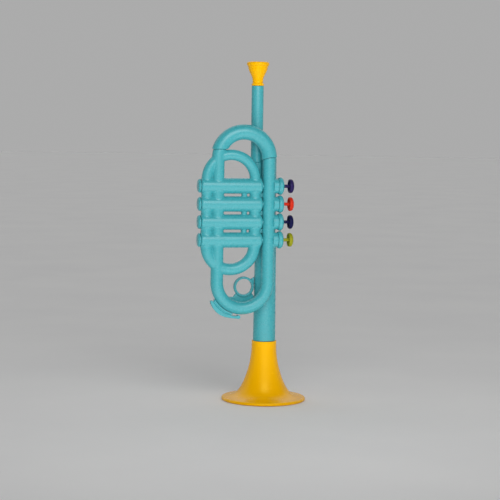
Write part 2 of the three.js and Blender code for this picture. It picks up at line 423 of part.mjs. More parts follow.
// drain lever: a fixed moulding under the bottom bend, an outer rib that ends in a knob,
// a second rib along the bend and a thin web between them
const leverArc = (r, a0, a1, n) => arcPoints(LOOP_X, BOTTOM_Z, r, a0, a1, n);
const LEVER_OUT = [[-60.4, 103.6], [-60.0, 101.0], [-57.6, 96.4], [-54.2, 92.3], [-50.3, 89.4], [-45.9, 87.5], [-42.3, 86.8], [-38.2, 86.1], [-34.1, 85.7], [-31.6, 85.8]];
const LEVER_IN = [[-31.6, 88.3], [-36.2, 88.5], [-39.3, 89.3], [-42.4, 90.2], [-45.9, 91.5], [-49.6, 94.0], [-53.6, 97.6], [-56.6, 101.6], [-58.2, 104.2]];
let lever = extruded([...LEVER_OUT, ...LEVER_IN], Y_FRONT - 2.6, Y_FRONT + 2.6);
lever = lever.add(rod('y', 1.8, Y_FRONT - 3.0, Y_FRONT + 3.0, -31.6, 87.2, 12));
lever = lever.add(extruded([...leverArc(LOOP_R + LEG_TUBE + 0.1, 213, 250, 6), ...leverArc(LOOP_R + LEG_TUBE + 3.9, 250, 213, 6)], Y_FRONT - 1.5, Y_FRONT + 1.5));
lever = lever.add(extruded([...leverArc(LOOP_R + LEG_TUBE + 0.1, 211, 253, 6), ...leverArc(LOOP_R + LEG_TUBE + 1.7, 253, 211, 6)], Y_FRONT - 2.4, Y_FRONT + 2.4));
piece('drain_lever', lever.subtract(sweep(circle(LEG_TUBE + 0.35, 12), outerPath(160))), 'teal');

// ------------------------------------------------------------------- screws
function screw(headY, tipY, x, z, headR = 2.35) {
  const s = turned('y', [[0, tipY], [1.25, tipY + 1.2], [1.25, headY - 1.2], [headR, headY - 1.2], [headR, headY - 0.4], [headR - 0.7, headY], [0, headY]], x, z, 8);
  return cut(s, box(x - 0.35, x + 0.35, headY - 0.7, headY + 1, z - 1.5, z + 1.5));
}
[...SHELL_SCREWS, [LOOP_X, BOW_Z + LOOP_R]].forEach(([x, z], i) => {
  const back = z < 120 ? Y_FRONT + LEG_TUBE : z > 260 ? Y_FRONT + BOW_TUBE : Y_FRONT + VALVE_TUBE;
  piece(`shell_screw_${i + 1}`, screw(back - 0.9, Y_FRONT - 4.2, x, z), 'steel');
});
CHEST_SCREW_Z.forEach((z, i) => piece(`chest_screw_${i + 1}`, screw(6.3, Y_FRONT + 1.4, CHEST_SCREW_X, z, 2.5), 'steel'));

export default trumpet;
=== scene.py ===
import math

import bmesh
import bpy
import numpy as np
from mathutils import Matrix, Vector


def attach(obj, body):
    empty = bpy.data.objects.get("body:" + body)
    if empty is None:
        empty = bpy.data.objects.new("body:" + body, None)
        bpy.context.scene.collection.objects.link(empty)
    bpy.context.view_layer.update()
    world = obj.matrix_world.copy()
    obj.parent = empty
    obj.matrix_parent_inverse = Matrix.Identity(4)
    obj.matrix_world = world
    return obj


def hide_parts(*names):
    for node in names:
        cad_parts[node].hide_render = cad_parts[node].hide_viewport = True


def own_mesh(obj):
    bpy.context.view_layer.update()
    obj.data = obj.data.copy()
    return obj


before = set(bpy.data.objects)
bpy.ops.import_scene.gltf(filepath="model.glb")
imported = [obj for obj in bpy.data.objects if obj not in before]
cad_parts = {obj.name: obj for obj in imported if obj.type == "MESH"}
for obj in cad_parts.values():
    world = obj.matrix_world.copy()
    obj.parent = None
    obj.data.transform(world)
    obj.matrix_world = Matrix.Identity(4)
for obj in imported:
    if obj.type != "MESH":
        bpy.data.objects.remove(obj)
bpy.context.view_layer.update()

# ------------------------------------------------------------------ sizes, mm
SHIFT = 15.835          # bell axis to the middle of the footprint, along x
YF = -18.5              # mid plane of the front layer of tubes
SPLIT = 0.15
WALL = 1.8
LOOP_X, LOOP_R = -27.9, 26.0
LEG_X, LEG_R = -1.9, 6.3
BOTTOM_Z, BOW_Z, BOW_R = 122.0, 246.0, 7.6
SEAM_Z, LEFT_SEAM_Z = 247.1, 255.0
INNER_X, INNER_R, INNER_TOP, INNER_LOW = -40.6, 24.5, 224.8, 159.6
VALVES = (218.4, 200.45, 182.5, 164.55)
VALVE_R, VALVE_BORE, V_RIGHT, V_LEFT = 7.75, 5.9, -9.3, -71.5
LEAD = (-11.5, -4.3)
CHEST_Z0, CHEST_Z1, CHEST_FRONT, CHEST_SPLIT, CHEST_R = 157.0, 250.0, -9.3, 2.0, 9.9
SHOULDER, SOCKET_TOP, PAD_TOP, PARTITION = 226.5, 262.0, 241.5, 229.0
RING_X, RING_Z, RING_OUT, RING_IN = -22.2, 115.7, 10.3, 7.9
SHELL_SCREWS = [(-60.0, VALVES[0]), (-60.0, VALVES[3]), (-36.0, VALVES[1]), (-36.0, VALVES[2]), (LOOP_X, BOTTOM_Z - LOOP_R)]
CHEST_SCREW_X, CHEST_SCREW_Z = -9.5, (209.42, 191.48, 173.52)
MM = 0.001


# --------------------------------------------------- distance functions, in mm
def hyp(*a):
    s = a[0] * a[0]
    for b in a[1:]:
        s = s + b * b
    return np.sqrt(s)


def smin(a, b, k):
    h = np.clip(0.5 + 0.5 * (b - a) / k, 0.0, 1.0)
    return b + (a - b) * h - k * h * (1.0 - h)


def smax(a, b, k):
    return -smin(-a, -b, k)


def rounded(du, dv, r):
    """Corner of two distances, rounded outside by r."""
    du, dv = du + r, dv + r
    return np.minimum(np.maximum(du, dv), 0.0) + hyp(np.maximum(du, 0.0), np.maximum(dv, 0.0)) - r


def rod_x(p, r, a, b, y, z, e=0.0):
    return rounded(hyp(p[1] - y, p[2] - z) - r, np.abs(p[0] - (a + b) / 2) - (b - a) / 2, e)


def rod_y(p, r, a, b, x, z, e=0.0):
    return rounded(hyp(p[0] - x, p[2] - z) - r, np.abs(p[1] - (a + b) / 2) - (b - a) / 2, e)


def rod_z(p, r, a, b, x, y, e=0.0):
    return rounded(hyp(p[0] - x, p[1] - y) - r, np.abs(p[2] - (a + b) / 2) - (b - a) / 2, e)


def block(p, x0, x1, y0, y1, z0, z1, e=0.0):
    dx = np.abs(p[0] - (x0 + x1) / 2) - (x1 - x0) / 2 + e
    dy = np.abs(p[1] - (y0 + y1) / 2) - (y1 - y0) / 2 + e
    dz = np.abs(p[2] - (z0 + z1) / 2) - (z1 - z0) / 2 + e
    return np.minimum(np.maximum(np.maximum(dx, dy), dz), 0.0) + hyp(np.maximum(dx, 0), np.maximum(dy, 0), np.maximum(dz, 0)) - e


def least(*a):
    r = a[0]
    for b in a[1:]:
        r = np.minimum(r, b)
    return r


def arc_line(p, cx, cz, R, up):
    """Distance to a half circle in the front plane, over the top (1) or under (-1)."""
    on = (p[2] - cz) * up >= 0
    a = hyp(hyp(p[0] - cx, p[2] - cz) - R, p[1] - YF)
    b = hyp(np.abs(p[0] - cx) - R, p[1] - YF, p[2] - cz)
    return np.where(on, a, b)


def polygon(px, pz, pts):
    """Signed distance to a closed outline in x, z."""
    pts = np.array(pts, float)
    d = np.full(px.shape, 1e9)
    s = np.ones(px.shape)
    n = len(pts)
    for i in range(n):
        a, b = pts[i], pts[i - 1]
        ex, ez = b[0] - a[0], b[1] - a[1]
        wx, wz = px - a[0], pz - a[1]
        t = np.clip((wx * ex + wz * ez) / (ex * ex + ez * ez), 0, 1)
        d = np.minimum(d, (wx - ex * t) ** 2 + (wz - ez * t) ** 2)
        c1, c2, c3 = pz >= a[1], pz < b[1], ex * wz > ez * wx
        s = np.where((c1 & c2 & c3) | (~c1 & ~c2 & ~c3), -s, s)
    return s * np.sqrt(d)


def two_circles(px, py, ax, ay, ra, bx, by, rb):
    """Signed distance to the outline round two circles, a at the first point."""
    h = math.hypot(bx - ax, by - ay)
    ux, uy = (bx - ax) / h, (by - ay) / h
    x = np.abs(-(px - ax) * uy + (py - ay) * ux)
    y = (px - ax) * ux + (py - ay) * uy
    b = (ra - rb) / h
    a = math.sqrt(1 - b * b)
    k = -b * x + a * y
    mid = a * x + b * y - ra
    return np.where(k < 0, hyp(x, y) - ra, np.where(k > a * h, hyp(x, y - h) - rb, mid))


# ---------------------------------------- surface of a distance function, as quads
def evaluate(f, pts):
    out = np.empty(len(pts))
    for i in range(0, len(pts), 400_000):
        q = pts[i:i + 400_000]
        out[i:i + 400_000] = f((q[:, 0], q[:, 1], q[:, 2]))
    return out


def surface(f, lo, hi, h, relax=2, block_n=5):
    """Quads on f = 0 in the box lo..hi with cells of h; f is a distance in mm, negative inside."""
    lo = np.array(lo, float)
    nb = np.ceil((np.array(hi, float) - lo) / h / block_n).astype(int) + 1
    n = nb * block_n
    ii = np.stack(np.meshgrid(*[np.arange(k) for k in nb], indexing="ij"), -1).reshape(-1, 3)
    mid = lo + (ii * block_n + (block_n - 1) / 2) * h
    dm = evaluate(f, mid)
    reach = block_n * h * math.sqrt(3) / 2 * 1.05 + h
    near = np.abs(dm) < reach
    dense = np.repeat(np.repeat(np.repeat(np.where(dm > 0, 9.0, -9.0).reshape(nb), block_n, 0), block_n, 1), block_n, 2)
    off = np.stack(np.meshgrid(*[np.arange(block_n)] * 3, indexing="ij"), -1).reshape(-1, 3)
    act = ii[near]
    pts = (act[:, None, :] * block_n + off[None]).reshape(-1, 3)
    val = evaluate(f, lo + pts * h)
    dense[pts[:, 0], pts[:, 1], pts[:, 2]] = val
    s = dense < 0
    c = n - 1
    mixed = np.zeros(c, bool)
    first = s[:-1, :-1, :-1]
    for dx in (0, 1):
        for dy in (0, 1):
            for dz in (0, 1):
                mixed |= s[dx:dx + c[0], dy:dy + c[1], dz:dz + c[2]] != first
    cells = np.argwhere(mixed)
    index = np.full(c, -1, np.int64)
    index[mixed] = np.arange(len(cells))
    total, count = np.zeros((len(cells), 3)), np.zeros(len(cells))
    corner = [(0, 0, 0), (1, 0, 0), (0, 1, 0), (1, 1, 0), (0, 0, 1), (1, 0, 1), (0, 1, 1), (1, 1, 1)]
    d8 = np.stack([dense[cells[:, 0] + a, cells[:, 1] + b, cells[:, 2] + e] for a, b, e in corner], 1)
    for i in range(8):
        for j in range(i + 1, 8):
            if sum(abs(p - q) for p, q in zip(corner[i], corner[j])) != 1:
                continue
            cross = (d8[:, i] < 0) != (d8[:, j] < 0)
            den = np.where(cross, d8[:, i] - d8[:, j], 1.0)
            t = np.clip(np.where(cross, d8[:, i] / den, 0.0), 0, 1)[:, None]
            pos = np.array(corner[i]) * (1 - t) + np.array(corner[j]) * t
            total += np.where(cross[:, None], pos, 0)
            count += cross
    v = lo + (cells + total / count[:, None]) * h
    quads = []
    for ax in range(3):
        u, w = (ax + 1) % 3, (ax + 2) % 3
        a = [slice(None)] * 3
        b = [slice(None)] * 3
        a[ax], b[ax] = slice(0, -1), slice(1, None)
        change = s[tuple(a)] != s[tuple(b)]
        e = np.argwhere(change)
        e = e[(e[:, u] > 0) & (e[:, w] > 0) & (e[:, u] < n[u] - 1) & (e[:, w] < n[w] - 1)]
        du, dw = np.eye(3, dtype=int)[u], np.eye(3, dtype=int)[w]
        q = np.stack([index[tuple((e - du - dw).T)], index[tuple((e - dw).T)], index[tuple(e.T)], index[tuple((e - du).T)]], 1)
        inside = s[tuple(e.T)]
        q[~inside] = q[~inside][:, ::-1]
        quads.append(q)
    quads = np.concatenate(quads)
    for it in range(relax + 1):
        if it:
            acc, num = np.zeros_like(v), np.zeros(len(v))
            for k in range(4):
                np.add.at(acc, quads[:, k], v[quads[:, (k + 1) % 4]] + v[quads[:, k - 1]])
                np.add.at(num, quads[:, k], 2)
            v = v * 0.4 + acc / np.maximum(num, 1)[:, None] * 0.6
        for _ in range(2):
            g = np.stack([evaluate(f, v + o) - evaluate(f, v - o) for o in np.eye(3) * 0.02], 1) / 0.04
            g /= np.maximum(np.linalg.norm(g, axis=1), 0.3)[:, None]
            step = np.clip(evaluate(f, v), -0.6 * h, 0.6 * h)
            v = v - g * step[:, None]
    return v, quads


def mesh_from(name, v, faces):
    me = bpy.data.meshes.new(name)
    v = np.asarray(v, float) * MM
    v[:, 0] += SHIFT * MM
    faces = np.asarray(faces)
    if faces.ndim == 2:
        k = faces.shape[1]
        me.vertices.add(len(v))
        me.vertices.foreach_set("co", v.astype(np.float32).ravel())
        me.loops.add(faces.size)
        me.loops.foreach_set("vertex_index", faces.astype(np.int32).ravel())
        me.polygons.add(len(faces))
        me.polygons.foreach_set("loop_start", np.arange(0, faces.size, k, dtype=np.int32))
        me.update(calc_edges=True)
    else:
        me.from_pydata(v.tolist(), [], [list(f) for f in faces])
    me.validate()
    return me


def half(me, y, keep):
    """Cuts a mesh at the plane y (mm) and closes it there. keep is -1 for the front part and 1 for the rear part."""
    out = me.copy()
    bm = bmesh.new()
    bm.from_mesh(out)
    geom = bm.verts[:] + bm.edges[:] + bm.faces[:]
    bmesh.ops.bisect_plane(bm, geom=geom, plane_co=(0, y * MM, 0), plane_no=(0, -keep, 0), clear_outer=True, dist=1e-7)
    rim = [e for e in bm.edges if e.is_boundary]
    made = bmesh.ops.triangle_fill(bm, use_beauty=True, use_dissolve=False, edges=rim, normal=(0, -keep, 0))
    for g in made["geom"]:
        if isinstance(g, bmesh.types.BMFace):
            g.normal_update()
            if g.normal.y * -keep < 0:
                g.normal_flip()
            g.smooth = False
    bm.to_mesh(out)
    bm.free()
    return out


# ------------------------------------------------------------------- materials
def new_material(name):
    m = bpy.data.materials.new(name)
    m.use_nodes = True
    nt = m.node_tree
    nt.nodes.clear()
    out = nt.nodes.new("ShaderNodeOutputMaterial")
    b = nt.nodes.new("ShaderNodeBsdfPrincipled")
    nt.links.new(b.outputs[0], out.inputs[0])
    return m, nt, b


def noise(nt, scale, detail=2.0, rough=0.5, stretch=None, seed=0.0):
    tc = nt.nodes.new("ShaderNodeTexCoord")
    mp = nt.nodes.new("ShaderNodeMapping")
    mp.inputs["Location"].default_value = (seed, seed * 0.7, seed * 1.3)
    if stretch:
        mp.inputs["Scale"].default_value = stretch
    n = nt.nodes.new("ShaderNodeTexNoise")
    n.inputs["Scale"].default_value = scale
    n.inputs["Detail"].default_value = detail
    n.inputs["Roughness"].default_value = rough
    nt.links.new(tc.outputs["Object"], mp.inputs["Vector"])
    nt.links.new(mp.outputs[0], n.inputs["Vector"])
    return n.outputs["Fac"]


def span(nt, value, a, b, c, d):
    m = nt.nodes.new("ShaderNodeMapRange")
    m.inputs["From Min"].default_value, m.inputs["From Max"].default_value = a, b
    m.inputs["To Min"].default_value, m.inputs["To Max"].default_value = c, d
    nt.links.new(value, m.inputs["Value"])
    return m.outputs[0]


def blend_colours(nt, fac, a, b):
    m = nt.nodes.new("ShaderNodeMix")
    m.data_type = "RGBA"
    nt.links.new(fac, m.inputs["Factor"])
    for sock, c in ((m.inputs[6], a), (m.inputs[7], b)):
        if isinstance(c, tuple):
            sock.default_value = (*c, 1)
        else:
            nt.links.new(c, sock)
    return m.outputs[2]


def plastic(name, base, rough=0.36, spec=0.5, tint=None, light=1.05, dark=0.95, grain=0.04, edge=0.12):
    """Moulded plastic: faint cloudy pigment and flow lines, a slightly uneven gloss, fine orange peel, and a painted
    highlight that makes sharp convex edges paler.
    """
    m, nt, b = new_material(name)
    low, high = tuple(c * dark for c in base), tuple(min(1.0, c * light) for c in base)
    cloud = span(nt, noise(nt, 90, 3, 0.55, seed=1.0), 0.3, 0.7, 0, 1)
    tone = blend_colours(nt, cloud, low, high)
    flow = span(nt, noise(nt, 260, 2, 0.5, stretch=(1, 1, 0.12), seed=4.0), 0.35, 0.65, 0, 0.35)
    tone = blend_colours(nt, flow, tone, tuple(c * (dark * 0.5 + 0.5) for c in base))
    # painted highlight: the colour is made paler where the surface is sharply convex (pointiness), standing in for
    # light caught on edges
    geo = nt.nodes.new("ShaderNodeNewGeometry")
    painted_edge_highlight = span(nt, geo.outputs["Pointiness"], 0.53, 0.60, 0, edge)
    tone = blend_colours(nt, painted_edge_highlight, tone, tuple(min(1.0, c * 1.25 + 0.035) for c in base))
    nt.links.new(tone, b.inputs["Base Color"])
    r = span(nt, noise(nt, 170, 3, 0.6, seed=9.0), 0.3, 0.7, rough - 0.02, rough + 0.03)
    nt.links.new(r, b.inputs["Roughness"])
    b.inputs["Specular IOR Level"].default_value = spec
    b.inputs["IOR"].default_value = 1.5
    if tint:
        b.inputs["Specular Tint"].default_value = (*tint, 1)
    peel = nt.nodes.new("ShaderNodeBump")
    peel.inputs["Strength"].default_value = grain
    peel.inputs["Distance"].default_value = 0.0004
    nt.links.new(noise(nt, 1500, 2, 0.5, seed=2.0), peel.inputs["Height"])
    wave = nt.nodes.new("ShaderNodeBump")
    wave.inputs["Strength"].default_value = grain * 0.35
    wave.inputs["Distance"].default_value = 0.0006
    nt.links.new(noise(nt, 150, 1, 0.5, seed=6.0), wave.inputs["Height"])
    nt.links.new(peel.outputs[0], wave.inputs["Normal"])
    nt.links.new(wave.outputs[0], b.inputs["Normal"])
    return m


def metal(name, base, rough, brushed=(1, 1, 1), scratch=0.12):
    m, nt, b = new_material(name)
    tone = blend_colours(nt, span(nt, noise(nt, 900, 3, 0.6, stretch=brushed), 0.3, 0.7, 0, 1), tuple(c * 0.86 for c in base), tuple(min(1, c * 1.08) for c in base))
    nt.links.new(tone, b.inputs["Base Color"])
    b.inputs["Metallic"].default_value = 1.0
    nt.links.new(span(nt, noise(nt, 1300, 3, 0.6, stretch=brushed, seed=3.0), 0.3, 0.7, rough - 0.07, rough + 0.09), b.inputs["Roughness"])
    bump = nt.nodes.new("ShaderNodeBump")
    bump.inputs["Strength"].default_value = scratch
    bump.inputs["Distance"].default_value = 0.0002
    nt.links.new(noise(nt, 3500, 2, 0.6, stretch=brushed, seed=5.0), bump.inputs["Height"])
    nt.links.new(bump.outputs[0], b.inputs["Normal"])
    return m


def rubber(name, base):
    m, nt, b = new_material(name)
    tone = blend_colours(nt, span(nt, noise(nt, 500, 4, 0.6), 0.3, 0.7, 0, 1), tuple(c * 0.8 for c in base), tuple(c * 1.3 for c in base))
    nt.links.new(tone, b.inputs["Base Color"])
    nt.links.new(span(nt, noise(nt, 700, 3, 0.6, seed=2.0), 0.3, 0.7, 0.68, 0.84), b.inputs["Roughness"])
    bump = nt.nodes.new("ShaderNodeBump")
    bump.inputs["Strength"].default_value = 0.25
    bump.inputs["Distance"].default_value = 0.0002
    nt.links.new(noise(nt, 2600, 3, 0.6, seed=7.0), bump.inputs["Height"])
    nt.links.new(bump.outputs[0], b.inputs["Normal"])
    return m


TEAL = plastic("teal_moulding", (0.052, 0.375, 0.42), rough=0.27, dark=0.985, light=1.015, grain=0.015)
YELLOW = plastic("yellow_moulding", (0.95, 0.475, 0.0), rough=0.25, tint=(1.0, 0.85, 0.15), dark=0.985, light=1.015, grain=0.015)
PURPLE = plastic("purple_moulding", (0.018, 0.009, 0.080), rough=0.42, spec=0.14)
RED = plastic("red_moulding", (0.62, 0.026, 0.006), rough=0.42, spec=0.14)
BLUE = plastic("blue_moulding", (0.004, 0.005, 0.054), rough=0.42, spec=0.12)
OLIVE = plastic("olive_moulding", (0.29, 0.295, 0.009), rough=0.42, spec=0.14)
RUBBER = rubber("seal_rubber", (0.024, 0.024, 0.028))
BRASS = metal("rolled_brass", (0.62, 0.42, 0.15), 0.32, brushed=(1, 1, 0.1))
STEEL = metal("spring_steel", (0.56, 0.57, 0.59), 0.34)
ZINC = metal("plated_steel", (0.50, 0.51, 0.53), 0.36)


# ------------------------------------------------------------- adding the pieces
ROOT = "trumpet_body"


def add(name, me, material, nodes, slot, body=ROOT, sharp=None):
    o = bpy.data.objects.new(name, me)
    bpy.context.scene.collection.objects.link(o)
    me.materials.clear()
    me.materials.append(material)
    me.polygons.foreach_set("use_smooth", [True] * len(me.polygons))
    if sharp is not None:
        me.set_sharp_from_angle(angle=math.radians(sharp))
    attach(o, body)
    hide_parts(*nodes)
    return o


def smooth_line(points, step=0.6, closed=False):
    """Centripetal curve through [radius, height] points, evenly stepped. A point given twice is a corner."""
    pts = [np.array(p, float) for p in points]
    runs, run = [], [pts[0]]
    for p in pts[1:]:
        if np.allclose(p, run[-1]):
            runs.append(run)
            run = [p]
        else:
            run.append(p)
    runs.append(run)
    out = []
    for run in runs:
        if len(run) == 1:
            if not out or not np.allclose(out[-1], run[0]):
                out.append(run[0])
            continue
        ext = [2 * run[0] - run[1]] + run + [2 * run[-1] - run[-2]]
        for i in range(1, len(ext) - 2):
            p0, p1, p2, p3 = ext[i - 1:i + 3]
            t0 = 0.0
            t1 = t0 + max(np.linalg.norm(p1 - p0), 1e-6) ** 0.5
            t2 = t1 + max(np.linalg.norm(p2 - p1), 1e-6) ** 0.5
            t3 = t2 + max(np.linalg.norm(p3 - p2), 1e-6) ** 0.5
            n = max(1, int(math.ceil(np.linalg.norm(p2 - p1) / step)))
            for k in range(n + 1):
                t = t1 + (t2 - t1) * k / n
                a1 = (t1 - t) / (t1 - t0) * p0 + (t - t0) / (t1 - t0) * p1
                a2 = (t2 - t) / (t2 - t1) * p1 + (t - t1) / (t2 - t1) * p2
                a3 = (t3 - t) / (t3 - t2) * p2 + (t - t2) / (t3 - t2) * p3
                b1 = (t2 - t) / (t2 - t0) * a1 + (t - t0) / (t2 - t0) * a2
                b2 = (t3 - t) / (t3 - t1) * a2 + (t - t1) / (t3 - t1) * a3
                q = (t2 - t) / (t2 - t1) * b1 + (t - t1) / (t2 - t1) * b2
                if not out or np.linalg.norm(q - out[-1]) > 1e-5:
                    out.append(q)
    if closed and np.linalg.norm(out[0] - out[-1]) < 1e-5:
        out.pop()
    return np.array(out)


def fillet(points, radii, step=9):
    """A closed outline of straight sides with each corner rounded by its own radius; step is degrees per segment."""
    n, out = len(points), []
    for i in range(n):
        p, r = np.array(points[i], float), radii[i]
        a, b = np.array(points[i - 1], float) - p, np.array(points[(i + 1) % n], float) - p
        la, lb = np.linalg.norm(a), np.linalg.norm(b)
        if r <= 0 or la < 1e-9 or lb < 1e-9:
            out.append(p)
            continue
        a, b = a / la, b / lb
        ang = math.acos(max(-1.0, min(1.0, float(a @ b))))
        if ang < 1e-3 or ang > math.pi - 1e-3:
            out.append(p)
            continue
        cut = min(r / math.tan(ang / 2), la * 0.49, lb * 0.49)
        r = cut * math.tan(ang / 2)
        bis = (a + b) / np.linalg.norm(a + b)
        c = p + bis * r / math.sin(ang / 2)
        s, e = p + a * cut - c, p + b * cut - c
        turn = math.pi - ang
        k = max(1, int(math.ceil(math.degrees(turn) / step)))
        for j in range(k + 1):
            t = j / k
            v = (math.sin((1 - t) * turn) * s + math.sin(t * turn) * e) / math.sin(turn)
            out.append(c + v)
    return out


def turned(name, outline, axis, c1, c2, sides=96):
    """Mesh turned from a closed outline of [radius, height]; where the outline touches the axis it is closed there."""
    prof = [(float(r), float(h)) for r, h in outline]
    verts, rings = [], []
    for r, h in prof:
        if r < 1e-6:
            rings.append([len(verts)])
            verts.append((0.0, 0.0, h))
        else:
            base = len(verts)
            rings.append(list(range(base, base + sides)))
            for k in range(sides):
                a = 2 * math.pi * k / sides
                verts.append((r * math.cos(a), r * math.sin(a), h))
    faces = []
    for i in range(len(rings)):
        a, b = rings[i], rings[(i + 1) % len(rings)]
        if len(a) == 1 and len(b) == 1:
            continue
        for k in range(sides):
            k2 = (k + 1) % sides
            if len(a) == 1:
                faces.append((a[0], b[k2], b[k]))
            elif len(b) == 1:
                faces.append((a[k], a[k2], b[0]))
            else:
                faces.append((a[k], a[k2], b[k2], b[k]))
    v = np.array(verts)
    x, y, h = v[:, 0].copy(), v[:, 1].copy(), v[:, 2].copy()
    if axis == "x":
        v = np.stack([h, x + c1, y + c2], 1)
    elif axis == "y":
        v = np.stack([x * -1 + c1, h, y + c2], 1)
    else:
        v = np.stack([x + c1, y + c2, h], 1)
    me = bpy.data.meshes.new(name)
    v = v * MM
    v[:, 0] += SHIFT * MM
    me.from_pydata(v.tolist(), [], faces)
    bm = bmesh.new()
    bm.from_mesh(me)
    bmesh.ops.recalc_face_normals(bm, faces=bm.faces)
    bm.to_mesh(me)
    bm.free()
    return me


# ---------------------------------------------------------- the body of the trumpet
def inner_radius(z):
    t = np.clip((z - INNER_LOW) / (INNER_TOP - INNER_LOW), 0, 1)
    return 5.9 + (5.3 - 5.9) * t


def seam_height(x):
    """The bow ends on the right leg in a curved edge, lower on the inner side."""
    return SEAM_Z - 0.033 * np.clip(-0.4 - x, 0, 9.0) ** 2


def body_outer(p):
    x, y, z = p
    leg = smax(rod_z(p, LEG_R, BOTTOM_Z - 1, SEAM_Z + 2.0, LEG_X, YF), z - (seam_height(x) - 0.3), 0.5)
    left = rod_z(p, LEG_R, BOTTOM_Z - 1, BOW_Z + 1, LOOP_X - LOOP_R, YF)
    bend = arc_line(p, LOOP_X, BOTTOM_Z, LOOP_R, -1) - LEG_R
    arm = smax(arc_line(p, LOOP_X, BOW_Z, LOOP_R, 1) - LEG_R, np.maximum(z - (LEFT_SEAM_Z - 0.3), x - LOOP_X), 0.4)
    loop = least(leg, left, bend, arm)
    line = np.where(z > INNER_TOP, arc_line(p, INNER_X, INNER_TOP, INNER_R, 1),
                    np.where(z < INNER_LOW, arc_line(p, INNER_X, INNER_LOW, INNER_R, -1), hyp(np.abs(x - INNER_X) - INNER_R, y - YF)))
    inner = line - inner_radius(z)
    cases = least(*[rod_x(p, VALVE_R, V_LEFT, V_RIGHT, YF, c, 2.3) for c in VALVES])
    posts = least(*[rod_z(p, 2.9, VALVES[i + 1] + 6, VALVES[i] - 6, -27.0, YF) for i in range(3)])
    necks = least(*[rod_x(p, 7.5, 2.2, 7.5, YF, c, 0.35) for c in VALVES])
    cores = least(*[rod_x(p, 2.9, V_RIGHT - 1, LEG_X - 3.2, YF, c) for c in VALVES])
    pad = np.minimum(block(p, -16.0, 4.2, YF + 5.0, YF + 7.7, 158.8, SHOULDER - 0.5, 0.5), block(p, -5.9, 2.1, YF + 5.0, YF + 7.7, SHOULDER - 4, PAD_TOP, 0.5))
    d = smin(inner, cases, 0.9)
    d = smin(d, posts, 0.8)
    d = smin(d, loop, 0.6)
    d = smin(d, necks, 0.9)
    d = np.minimum(d, cores)
    return smin(d, pad, 0.5)


def body_sdf(p):
    x, y, z = p
    d = body_outer(p)
    loop_in = least(
        rod_z(p, LEG_R - WALL, BOTTOM_Z - 1, SEAM_Z - 3.5, LEG_X, YF),
        rod_z(p, LEG_R - WALL, BOTTOM_Z - 1, BOW_Z + 1, LOOP_X - LOOP_R, YF),
        arc_line(p, LOOP_X, BOTTOM_Z, LOOP_R, -1) - (LEG_R - WALL),
        np.maximum(arc_line(p, LOOP_X, BOW_Z, LOOP_R, 1) - (LEG_R - WALL), np.maximum(z - (LEFT_SEAM_Z - 2.2), x - LOOP_X)))
    line = np.where(z > INNER_TOP, arc_line(p, INNER_X, INNER_TOP, INNER_R, 1), arc_line(p, INNER_X, INNER_LOW, INNER_R, -1))
    line = np.where((z > VALVES[0] - 3) & (z <= INNER_TOP) | (z < VALVES[3] + 3) & (z >= INNER_LOW), hyp(np.abs(x - INNER_X) - INNER_R, y - YF), line)
    inner_in = line - (inner_radius(z) - WALL)
    bores = least(*[rod_x(p, VALVE_BORE, V_LEFT - 2, -10.5, YF, c) for c in VALVES])
    d = smax(d, -least(loop_in, inner_in, bores), 0.25)
    # spigots inside the bow
    spig = np.maximum(rod_z(p, 5.1, SEAM_Z - 3, SEAM_Z + 3.6, LEG_X, YF, 0.3), -rod_z(p, 3.7, SEAM_Z - 6, SEAM_Z + 6, LEG_X, YF))
    arm = arc_line(p, LOOP_X, BOW_Z, LOOP_R, 1)
    ang = np.degrees(np.arctan2(z - BOW_Z, x - LOOP_X))
    sweep = (np.abs(ang - 158.5) - 7.5) * (math.pi / 180 * LOOP_R)
    spig2 = np.maximum(np.maximum(arm - 5.1, sweep), -(arm - 3.7))
    d = least(d, spig, spig2)
    d = smax(d, -least(rod_z(p, 3.7, SEAM_Z - 6, SEAM_Z + 6, LEG_X, YF), np.maximum(arm - 3.7, np.abs(sweep + 0.0) - 7.0)), 0.2)
    # screw bosses
    for sx, sz in SHELL_SCREWS:
        back = YF + (LEG_R if sz < 120 else VALVE_R)
        d = np.minimum(d, rod_y(p, 3.0, YF - 5.4, back - 0.8, sx, sz))
    for sz in CHEST_SCREW_Z:
        d = np.minimum(d, rod_y(p, 2.3, YF + 0.3, YF + 6, CHEST_SCREW_X, sz))
    holes = []
    for c in VALVES:
        holes += [rod_x(p, 2.2, -11.5, LEG_X, YF, c), rod_x(p, 4.0, LEG_X, 9.5, YF, c), rod_x(p, 5.7, 4.6, 9.7, YF, c),
                  block(p, -13.9, -10.9, -16, -9, c - 4.2, c + 4.2)]
    for sx, sz in SHELL_SCREWS:
        back = YF + (LEG_R if sz < 120 else VALVE_R)
        holes += [rod_y(p, 1.7, YF - 4.6, back + 2, sx, sz), rod_y(p, 2.75, back - 2.4, back + 3, sx, sz)]
    for sz in CHEST_SCREW_Z:
        holes += [rod_y(p, 1.7, YF + 0.8, YF + 9, CHEST_SCREW_X, sz)]
    holes.append(rod_y(p, 2.5, -15.5, -9, LEG_X, 235.5))
    return smax(d, -least(*holes), 0.2)


def bow_sdf(p):
    x, y, z = p
    line = np.where(z > BOW_Z, arc_line(p, LOOP_X, BOW_Z, LOOP_R, 1), hyp(np.abs(x - LOOP_X) - LOOP_R, y - YF))
    cut = np.where(x > LOOP_X, seam_height(x) - z, LEFT_SEAM_Z - z)
    d = smax(line - BOW_R, cut, 0.7)
    d = smax(d, -(line - (BOW_R - WALL)), 0.3)
    d = np.minimum(d, rod_y(p, 3.0, YF - 7.0, YF + 6.8, LOOP_X, BOW_Z + LOOP_R))
    d = smax(d, -rod_y(p, 1.7, YF - 4.6, YF + 12, LOOP_X, BOW_Z + LOOP_R), 0.2)
    return smax(d, -rod_y(p, 2.75, YF + BOW_R - 2.4, YF + 12, LOOP_X, BOW_Z + LOOP_R), 0.2)


FINE = 0.62


